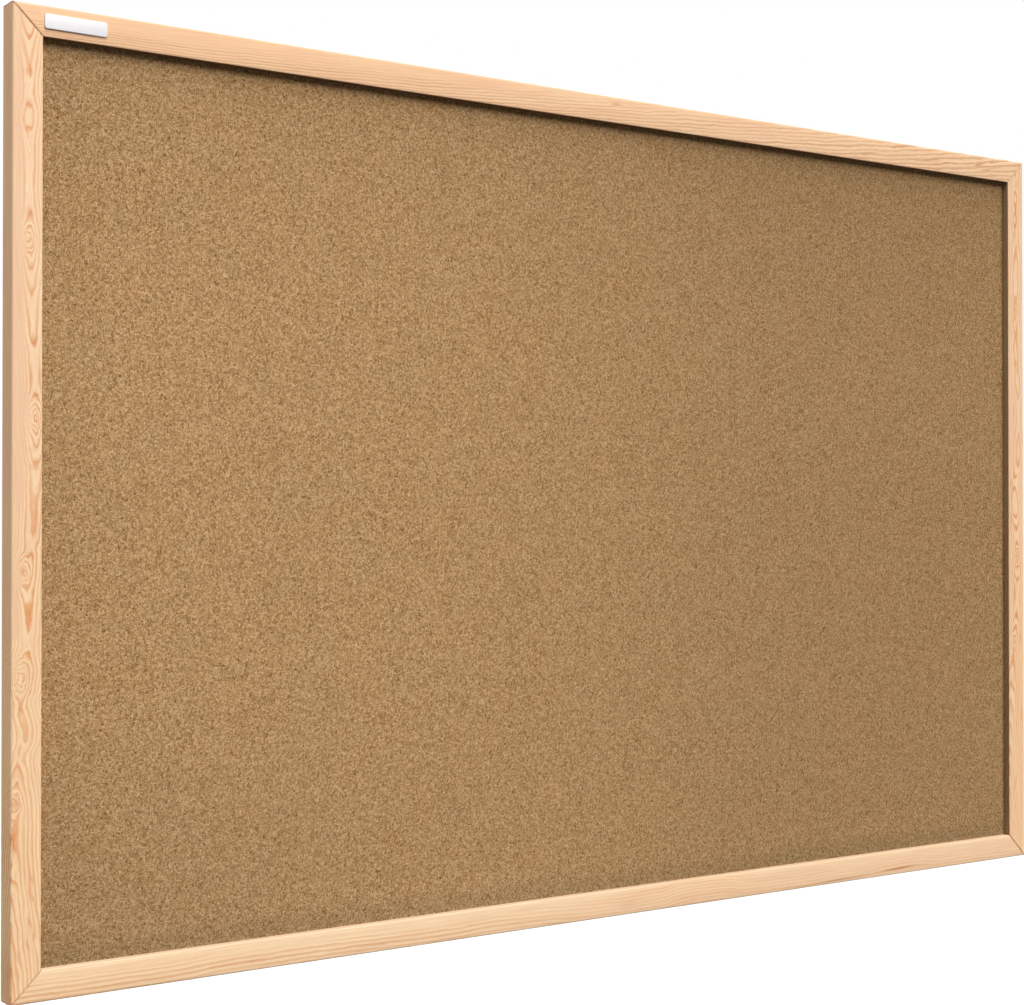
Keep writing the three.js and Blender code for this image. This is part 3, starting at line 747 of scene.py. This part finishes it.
def skin(name, rings):
    """A closed body through rings of points that have the same count, with flat ends."""
    count = len(rings[0])
    vertices = [point for ring in rings for point in ring]
    faces = [
        (i * count + j, i * count + (j + 1) % count, (i + 1) * count + (j + 1) % count, (i + 1) * count + j)
        for i in range(len(rings) - 1)
        for j in range(count)
    ]
    last = (len(rings) - 1) * count
    faces.append(tuple(reversed(range(count))))
    faces.append(tuple(range(last, last + count)))
    return mesh_of(name, vertices, faces)


def prism(name, outline, front, back):
    """An outline drawn in X and Z, made solid from y = front to y = back."""
    return skin(name, [[(x, y, z) for x, z in outline] for y in (front, back)])


def arc(x, y, radius, start, end, steps):
    """Points round a centre; angles in turns of 360 degrees."""
    return [
        (x + radius * math.cos(math.tau * a), y + radius * math.sin(math.tau * a))
        for a in (start + (end - start) * i / steps for i in range(steps + 1))
    ]


def turned(angle, point):
    """A point turned about Y, from +Z towards +X, by an angle in radians."""
    x, y, z = point
    return (x * math.cos(angle) + z * math.sin(angle), y, z * math.cos(angle) - x * math.sin(angle))


def place(x=0, y=0, z=0):
    return Matrix.Translation((x * MM, y * MM, z * MM))


def evaluated(obj):
    bpy.context.view_layer.update()
    graph = bpy.context.evaluated_depsgraph_get()
    mesh = bpy.data.meshes.new_from_object(obj.evaluated_get(graph))
    bpy.data.objects.remove(obj)
    return mesh


def boolean(mesh, cutters, operation="DIFFERENCE"):
    """The mesh with each cutter taken away from it, or kept in common with it."""
    obj = bpy.data.objects.new("work", mesh)
    bpy.context.scene.collection.objects.link(obj)
    tools = []
    for cutter in cutters:
        tool = bpy.data.objects.new("tool", cutter)
        bpy.context.scene.collection.objects.link(tool)
        modifier = obj.modifiers.new("cut", "BOOLEAN")
        modifier.operation = operation
        modifier.solver = "EXACT"
        modifier.object = tool
        tools.append(tool)
    result = evaluated(obj)
    for tool in tools:
        bpy.data.objects.remove(tool)
    return result


def bevelled(mesh, width):
    obj = bpy.data.objects.new("work", mesh)
    bpy.context.scene.collection.objects.link(obj)
    modifier = obj.modifiers.new("edge", "BEVEL")
    modifier.width = width * MM
    modifier.segments = STRAP_EDGE_SEGMENTS
    modifier.limit_method = "ANGLE"
    modifier.angle_limit = math.radians(EDGE_ANGLE)
    return evaluated(obj)


def add_piece(name, mesh, material, body, node, sharp_angle=SHARP_ANGLE):
    """A piece that stands for a CAD node and rides on its body."""
    mesh.name = name
    mesh.materials.clear()
    mesh.materials.append(material)
    mesh.shade_smooth()
    mesh.set_sharp_from_angle(angle=math.radians(sharp_angle))
    obj = bpy.data.objects.new(name, mesh)
    bpy.context.scene.collection.objects.link(obj)
    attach(obj, body)
    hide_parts(node)


def dress(node, material):
    """A CAD node that stays, with its own material."""
    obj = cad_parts[node]
    obj.data.materials.clear()
    obj.data.materials.append(material)


# Frame
def rail_section(arris, sight):
    """X runs in from the outer edge and Y back from the front face, as in the model."""
    rear = REAR_ARRIS_RADIUS
    groove_back = FRONT_LIP + GROOVE_WIDTH
    half = RAIL_FACE / 2
    flat = RAIL_FACE - sight - arris
    face = [(arris + flat * i / CROWN_STEPS, 0) for i in range(1, CROWN_STEPS)]
    front = (
        arc(arris, arris, arris, 0.5, 0.75, ARRIS_STEPS)
        + face
        + arc(RAIL_FACE - sight, sight, sight, 0.75, 1.0, SIGHT_ARRIS_STEPS)
    )
    return (
        [(x, y + CROWN * ((x - half) / half) ** 2) for x, y in front]
        + [(RAIL_FACE, FRONT_LIP), (RAIL_BODY, FRONT_LIP), (RAIL_BODY, groove_back), (RAIL_FACE, groove_back)]
        + arc(RAIL_FACE - rear, RAIL_DEPTH - rear, rear, 0, 0.25, REAR_ARRIS_STEPS)
        + arc(rear, RAIL_DEPTH - rear, rear, 0.25, 0.5, REAR_ARRIS_STEPS)
    )


def rail_mesh(name, length, seed):
    """A rail along X, outer edge up at z = 0 and back at y = 0. Its sanded arrises vary a little."""
    kerf = MITRE_GAP * math.sqrt(0.5)
    stations = length // STATION_SPACING
    rings = []
    for i in range(stations + 1):
        share = 2 * i / stations - 1
        outer_wander, sight_wander = (
            noise.noise((share * length / WANDER_LENGTH, seed, k)) for k in range(2)
        )
        section = rail_section(
            ARRIS_RADIUS + ARRIS_WANDER * outer_wander,
            SIGHT_ARRIS_RADIUS + SIGHT_ARRIS_WANDER * sight_wander,
        )
        rings.append([
            (share * (length / 2 - across - kerf), y - RAIL_DEPTH, -across) for across, y in section
        ])
    return skin(name, rings)


def nail_outline(share, spare):
    half = NAIL_THICKNESS / 2 + spare
    leg = NAIL_LEG + spare
    point = -share * RAIL_BODY * math.sqrt(2)
    cos, sin = math.cos(NAIL_HALF_ANGLE), math.sin(NAIL_HALF_ANGLE)
    return [
        (point - half / sin, 0),
        (point + leg * cos - half * sin, -(leg * sin + half * cos)),
        (point + leg * cos + half * sin, -(leg * sin - half * cos)),
        (point + half / sin, 0),
        (point + leg * cos + half * sin, leg * sin - half * cos),
        (point + leg * cos - half * sin, leg * sin + half * cos),
    ]


def nail_slot(share, turn, x):
    deepest = -(NAIL_SET + NAIL_HEIGHT + NAIL_GAP)
    outline = nail_outline(share, NAIL_GAP)
    rings = []
    for y in (deepest, CUT_OVERRUN):
        ring = []
        for across, up in outline:
            px, py, pz = turned(turn, (across, y, up))
            ring.append((px + x, py, pz))
        rings.append(ring)
    return skin("slot", rings)


def round_bar(radius, front, back, x, z):
    outline = [(x + px, z + pz) for px, pz in arc(0, 0, radius, 0, 1, BORE_SIDES)[:-1]]
    return prism("bar", outline, front, back)


def make_rail(node, length, screw_place, matrix, material, seed):
    cutters = []
    for share in NAIL_PLACE_SHARES:
        cutters.append(nail_slot(share, -math.pi / 4, length / 2))
        cutters.append(nail_slot(share, -math.pi * 0.75, -length / 2))
    if screw_place is not None:
        bottom = SCREW_SEAT - SCREW_LENGTH - SCREW_GAP
        bore = SCREW_RADIUS + SCREW_GAP
        cutters.append(round_bar(bore, bottom, CUT_OVERRUN, screw_place, -RAIL_FACE / 2))
    mesh = boolean(rail_mesh(node, length, seed), cutters)
    mesh.transform(matrix)
    add_piece(f"pine_{node}", mesh, material, "board", node)


def make_frame():
    quarter = math.pi / 2
    screw_z = HANGER_Z - SCREW_DROP
    rails = [
        ("frame_top", BOARD_WIDTH, None, place(z=BOARD_HEIGHT / 2), 0, TOP_GRAIN),
        ("frame_bottom", BOARD_WIDTH, None, place(z=-BOARD_HEIGHT / 2), 2 * quarter, BOTTOM_GRAIN),
        ("frame_left", BOARD_HEIGHT, screw_z, place(x=-BOARD_WIDTH / 2), -quarter, LEFT_GRAIN),
        ("frame_right", BOARD_HEIGHT, -screw_z, place(x=BOARD_WIDTH / 2), quarter, RIGHT_GRAIN),
    ]
    for seed, (node, length, screw_place, there, turn, grain) in enumerate(rails, 1):
        matrix = there @ Matrix.Rotation(turn, 4, "Y")
        make_rail(node, length, screw_place, matrix, pine_material(f"pine_{node}", grain), seed)


# Badge
def rounded_outline(width, height, radius, inset):
    x, z, r = width / 2 - inset, height / 2 - inset, radius - inset
    corners = [(x - r, z - r), (r - x, z - r), (r - x, r - z), (x - r, r - z)]
    return [
        point
        for i, (cx, cz) in enumerate(corners)
        for point in arc(cx, cz, r, 0.25 * i, 0.25 * i + 0.25, BADGE_CORNER_STEPS)
    ]


def make_badge(material):
    back = -RAIL_DEPTH - BADGE_TAPE
    cx = -BOARD_WIDTH / 2 + BADGE_INSET + BADGE_WIDTH / 2
    cz = LEVEL_RAIL_Z
    levels = [(0.0, 0.0)]
    for i in range(BADGE_EDGE_STEPS + 1):
        angle = math.pi / 2 * i / BADGE_EDGE_STEPS
        levels.append((
            BADGE_THICKNESS - BADGE_EDGE * (1 - math.sin(angle)),
            BADGE_EDGE * (1 - math.cos(angle)),
        ))
    rings = []
    for rise, inset in levels:
        outline = rounded_outline(BADGE_WIDTH, BADGE_HEIGHT, BADGE_CORNER, inset)
        rings.append([(cx + x, back - rise, cz + z) for x, z in outline])
    add_piece("bare_badge", skin("badge", rings), material, "board", "badge_plate")


# Hangers
def strap_side():
    """The folded strap seen from its side: up and out from the rail."""
    crimp_y = STRAP_STACK + STRAP_CRIMP_RADIUS
    crimp_x = -math.sqrt((EYE_RADIUS + STRAP_CRIMP_RADIUS) ** 2 - (crimp_y - EYE_RADIUS) ** 2)
    meet = math.atan2(crimp_y - EYE_RADIUS, crimp_x) / math.tau
    inner = STRAP_CRIMP_RADIUS + STRAP_THICKNESS
    return (
        [(-STRAP_LENGTH, 0)]
        + arc(0, EYE_RADIUS, EYE_RADIUS, -0.25, meet, EYE_STEPS)
        + arc(crimp_x, crimp_y, STRAP_CRIMP_RADIUS, meet - 0.5, -0.25, CRIMP_STEPS)[1:]
        + [(-STRAP_LENGTH, STRAP_STACK), (-STRAP_LENGTH, STRAP_STACK - STRAP_THICKNESS)]
        + arc(crimp_x, crimp_y, inner, -0.25, meet - 0.5, CRIMP_STEPS)
        + arc(0, EYE_RADIUS, EYE_BORE, meet, -0.25, EYE_STEPS)[1:]
        + [(-STRAP_LENGTH, STRAP_THICKNESS)]
    )


def strap_mesh():
    half = STRAP_WIDTH / 2
    ribbon = skin("strap", [[(x, y + STRAP_SEAT, z) for z, y in strap_side()] for x in (-half, half)])
    corner_z = STRAP_CORNER - STRAP_LENGTH
    top = EYE_RADIUS + CUT_OVERRUN
    side = half + CUT_OVERRUN
    plan = (
        [(side, top), (-side, top), (-side, corner_z)]
        + arc(STRAP_CORNER - half, corner_z, STRAP_CORNER, 0.5, 0.75, STRAP_CORNER_STEPS)
        + arc(half - STRAP_CORNER, corner_z, STRAP_CORNER, 0.75, 1.0, STRAP_CORNER_STEPS)
        + [(side, corner_z)]
    )
    above = STRAP_SEAT + 2 * EYE_RADIUS + CUT_OVERRUN
    trimmed = boolean(ribbon, [prism("plan", plan, -CUT_OVERRUN, above)], "INTERSECT")
    hole = round_bar(SCREW_RADIUS + SCREW_GAP, -CUT_OVERRUN, above, 0, -SCREW_DROP)
    return bevelled(boolean(trimmed, [hole]), STRAP_EDGE)


def ring_path():
    """The bent wire's centre line in X and Z, from one of its ends to the other."""
    bend_x = RING_HALF_WIDTH - RING_BEND_RADIUS
    leg_end = -(RING_BEND_RADIUS + RING_LEG)
    right = [(RING_SPLIT / 2, 0), (bend_x / 2, 0)]
    right += arc(bend_x, -RING_BEND_RADIUS, RING_BEND_RADIUS, 0.25, 0, RING_BEND_STEPS)
    right += arc(0, leg_end, RING_HALF_WIDTH, 0, -0.25, RING_BOW_STEPS)
    return right + [(-x, z) for x, z in reversed(right[:-1])]


def ring_mesh():
    path = ring_path()
    last = len(path) - 1
    turns = [math.tau * j / WIRE_SIDES for j in range(WIRE_SIDES)]
    up = Vector((0, 1, 0))
    rings = []
    for i, (x, z) in enumerate(path):
        before, after = path[max(i - 1, 0)], path[min(i + 1, last)]
        run = Vector((after[0] - before[0], 0, after[1] - before[1])).normalized()
        out = Vector((run.z, 0, -run.x))
        steps = [(0, 1.0)]
        if i == 0:
            steps = WIRE_END
        if i == last:
            steps = [(-along, swell) for along, swell in reversed(WIRE_END)]
        for along, swell in steps:
            centre = Vector((x, 0, z)) + run * along
            radius = WIRE_RADIUS * swell
            rings.append([
                tuple(centre + out * (radius * math.cos(turn)) + up * (radius * math.sin(turn)))
                for turn in turns
            ])
    return skin("ring", rings)


def thread_radius(y, turn):
    """The screw's radius at a level and a share of a turn: rolled thread, smooth neck and point."""
    neck = max(0.0, min(1.0, (-y - SCREW_NECK) / SCREW_NECK_FADE))
    phase = (y / SCREW_PITCH - turn) % 1.0
    crest = max(0.0, 1 - abs(phase - 0.5) * THREAD_STEEPNESS) * neck
    core_radius = SCREW_ROOT_RADIUS + (SCREW_RADIUS - 0.08 - SCREW_ROOT_RADIUS) * (1 - neck) * 0.6
    taper = min(1.0, (y + SCREW_LENGTH) / SCREW_POINT)
    return max(SCREW_TIP_RADIUS, (core_radius + (SCREW_RADIUS - core_radius) * crest) * taper)


def level_ring(y, radii):
    """Points round Y at one level, one for each radius."""
    turns = [math.tau * j / SCREW_SIDES for j in range(SCREW_SIDES)]
    return [(radius * math.cos(turn), y, -radius * math.sin(turn)) for radius, turn in zip(radii, turns)]


def screw_mesh():
    """A pan-head screw along Y with a rolled thread and a crossed recess."""
    rings = []
    count = int(SCREW_LENGTH / SCREW_PITCH * THREAD_STEPS)
    for i in range(count + 1):
        y = -SCREW_LENGTH + SCREW_LENGTH * i / count
        rings.append(level_ring(y, [thread_radius(y, j / SCREW_SIDES) for j in range(SCREW_SIDES)]))
    outline = [(0.0, SCREW_HEAD_RADIUS - SCREW_HEAD_CHAMFER), (SCREW_HEAD_EDGE, SCREW_HEAD_RADIUS)]
    for i in range(DOME_STEPS):
        angle = math.pi / 2 * i / DOME_STEPS
        level = SCREW_HEAD_RIM + (SCREW_HEAD_HEIGHT - SCREW_HEAD_RIM) * math.sin(angle)
        outline.append((level, SCREW_HEAD_RADIUS * math.cos(angle) ** 0.85))
    outline.append((SCREW_HEAD_HEIGHT, SCREW_CENTRE_RADIUS))
    rings += [level_ring(y, [radius] * SCREW_SIDES) for y, radius in outline]
    blades = []
    levels = RECESS_LEVELS + [(SCREW_HEAD_HEIGHT + CUT_OVERRUN, *RECESS_TOP)]
    for turn in (RECESS_TURN, RECESS_TURN + math.pi / 2):
        blades.append(skin("blade", [
            [turned(turn, (sx * long, y, sz * wide)) for sx, sz in ((1, 1), (-1, 1), (-1, -1), (1, -1))]
            for y, long, wide in levels
        ]))
    return boolean(skin("screw", rings), blades)


def make_hangers(material):
    strap = strap_mesh()
    ring = ring_mesh()
    screw = screw_mesh()
    in_eye = place(y=STRAP_SEAT + EYE_RADIUS) @ Matrix.Rotation(RING_REST_TILT, 4, "X")
    in_hole = place(y=SCREW_SEAT, z=-SCREW_DROP)
    for side, x in (("left", -HANGER_X), ("right", HANGER_X)):
        for name, node, mesh, there, body, sharp_angle in (
            ("folded_strap", "hanger_strap", strap, place(), "board", SHARP_ANGLE),
            ("wire_ring", "hanger_ring", ring, in_eye, f"ring_{side}", SHARP_ANGLE),
            ("pan_head_screw", "hanger_screw", screw, in_hole, "board", SCREW_SHARP_ANGLE),
        ):
            copy = mesh.copy()
            copy.transform(place(x, 0, HANGER_Z) @ there)
            add_piece(f"{name}_{side}", copy, material, body, f"{node}_{side}", sharp_angle)


# Studio: the board hangs well above a pale floor, which is white to the camera and keeps a shadow
def white_to_camera(nodes, links):
    """1 for rays from the camera, and for those that metal or glass passes on; 0 for the light."""
    path = nodes.new("ShaderNodeLightPath")
    total = path.outputs["Is Camera Ray"]
    for name in ("Is Glossy Ray", "Is Transmission Ray"):
        node = nodes.new("ShaderNodeMath")
        node.operation = "MAXIMUM"
        links.new(total, node.inputs[0])
        links.new(path.outputs[name], node.inputs[1])
        total = node.outputs[0]
    return total


def choose(nodes, links, seen, low, high):
    """low for the light's own rays, and high for the rays that see."""
    node = nodes.new("ShaderNodeMapRange")
    links.new(seen, node.inputs["Value"])
    for value, name in ((low, "To Min"), (high, "To Max")):
        if isinstance(value, bpy.types.NodeSocket):
            links.new(value, node.inputs[name])
        else:
            node.inputs[name].default_value = value
    return node.outputs[0]


def make_floor():
    bpy.ops.mesh.primitive_plane_add(size=FLOOR_SIZE, location=(0, 0, -FLOOR_DROP))
    floor = bpy.context.object
    floor.name = "floor"
    material = bpy.data.materials.new("floor")
    material.use_nodes = True
    nodes, links = material.node_tree.nodes, material.node_tree.links
    shader = nodes["Principled BSDF"]
    seen = white_to_camera(nodes, links)
    colour = nodes.new("ShaderNodeCombineXYZ")
    for socket in colour.inputs:
        links.new(choose(nodes, links, seen, 0.1, 0.8), socket)
    links.new(colour.outputs[0], shader.inputs["Base Color"])
    shader.inputs["Roughness"].default_value = 0.9
    shader.inputs["Specular IOR Level"].default_value = 0.0
    shader.inputs["Emission Color"].default_value = (1, 1, 1, 1)
    links.new(choose(nodes, links, seen, 0.0, 0.3), shader.inputs["Emission Strength"])
    floor.data.materials.append(material)


def make_world(above, below):
    """White to the camera. As light, it is a little stronger from above than from below."""
    world = bpy.data.worlds.new("studio")
    world.use_nodes = True
    bpy.context.scene.world = world
    nodes, links = world.node_tree.nodes, world.node_tree.links
    background = nodes["Background"]
    background.inputs["Color"].default_value = (1, 1, 1, 1)
    split = nodes.new("ShaderNodeSeparateXYZ")
    links.new(nodes.new("ShaderNodeTexCoord").outputs["Generated"], split.inputs[0])
    lift = nodes.new("ShaderNodeMapRange")
    links.new(split.outputs["Z"], lift.inputs["Value"])
    lift.inputs["From Min"].default_value = -0.3
    lift.inputs["From Max"].default_value = 0.3
    lift.inputs["To Min"].default_value = below
    lift.inputs["To Max"].default_value = above
    strength = choose(nodes, links, white_to_camera(nodes, links), lift.outputs[0], 1.0)
    links.new(strength, background.inputs["Strength"])


def add_light(name, kind, energy, location, target=(0, 0, 0), **settings):
    light = bpy.data.lights.new(name, kind)
    light.energy = energy
    for key, value in settings.items():
        setattr(light, key, value)
    obj = bpy.data.objects.new(name, light)
    bpy.context.scene.collection.objects.link(obj)
    obj.location = location
    obj.rotation_euler = (Vector(target) - Vector(location)).to_track_quat("-Z", "Y").to_euler()
    obj.visible_camera = False


def from_the_front(elevation, azimuth, distance=3):
    """A place in front of the board; azimuth is towards the right."""
    flat = distance * math.cos(math.radians(elevation))
    return (
        flat * math.sin(math.radians(azimuth)),
        -flat * math.cos(math.radians(azimuth)),
        distance * math.sin(math.radians(elevation)),
    )


def make_lights():
    make_world(above=0.04, below=0.0)
    add_light("key", "SUN", 2.5, from_the_front(37, 16), angle=math.radians(35))
    add_light("overhead", "SUN", 1.7, from_the_front(71, 0), angle=math.radians(28))
    add_light("upper_left", "AREA", 5.0, (-0.9, -0.7, 1.3), (-0.35, 0, 0.2), shape="DISK", size=0.6)
    add_light("side", "AREA", 13.0, (-2.3, 0.8, -0.05), (-0.45, 0, -0.05), shape="DISK", size=1.0)
    add_light("back", "AREA", 42.0, (0.7, 2.3, 0.9), (0, 0, 0), shape="DISK", size=1.0)


def main():
    make_camera()
    make_frame()
    steel = steel_material("zinc_steel", (214, 214, 210), (178, 180, 180), 0.3, "X")
    nail = steel_material("nail_steel", (150, 150, 152), (104, 102, 102), 0.42, "Z")
    for corner in ("top_right", "bottom_right", "bottom_left", "top_left"):
        for number in (1, 2):
            dress(f"corner_nail_{corner}_{number}", nail)
    dress("cork_sheet", cork_material())
    dress("core_board", softboard_material())
    make_badge(plastic_material())
    make_hangers(steel)
    make_floor()
    make_lights()
    bpy.context.scene.view_settings.view_transform = "Standard"


main()
